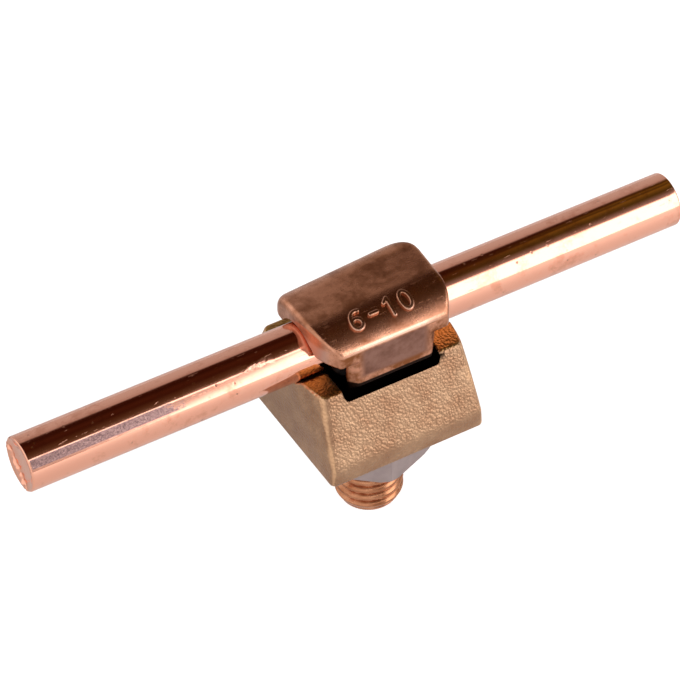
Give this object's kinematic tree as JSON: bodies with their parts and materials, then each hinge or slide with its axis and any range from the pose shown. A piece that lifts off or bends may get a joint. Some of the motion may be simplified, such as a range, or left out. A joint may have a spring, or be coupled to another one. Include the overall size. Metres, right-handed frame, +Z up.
{
  "type": "round conductor connector",
  "caption": "Hook bolt connector that clamps a round overhead-line conductor into the seat of a cast block, drawn down by a hexagon nut under the block.",
  "frame": {"origin": "on the stud axis, at the underside of the block", "axes": "+Z up along the stud from the nut to the hook, +X along the conductor, -Y towards the side with the hook's neck"},
  "size_m": [0.1045, 0.025, 0.0392],
  "materials": {
    "cast_bronze": "pebbled sand-cast bronze",
    "forged_copper": "satin forged copper with a brown patina",
    "drawn_copper": "bright drawn copper with fine scratches",
    "plain_steel": "plain spring steel",
    "nut_metal": "matte grey tumbled metal"
  },
  "bodies": {
    "clamp": {"clamp_body": "cast_bronze", "round_conductor": "drawn_copper", "spring_washer": "plain_steel"},
    "hook": {"hook_bolt": "forged_copper"},
    "nut": {"hex_nut": "nut_metal"}
  },
  "joints": [
    {"name": "nut_turn", "type": "hinge", "parent": "clamp", "child": "nut", "pos_m": [0, 0, 0], "axis": [0, 0, -1], "range_deg": [0, 360]},
    {"name": "hook_lift", "type": "slide", "parent": "clamp", "child": "hook", "axis": [0, 0, 1], "range_m": [0, 0.0018]}
  ],
  "couplings": [
    {"joint": "hook_lift", "follows": "nut_turn", "m_per_rad": 0.00023873}
  ]
}
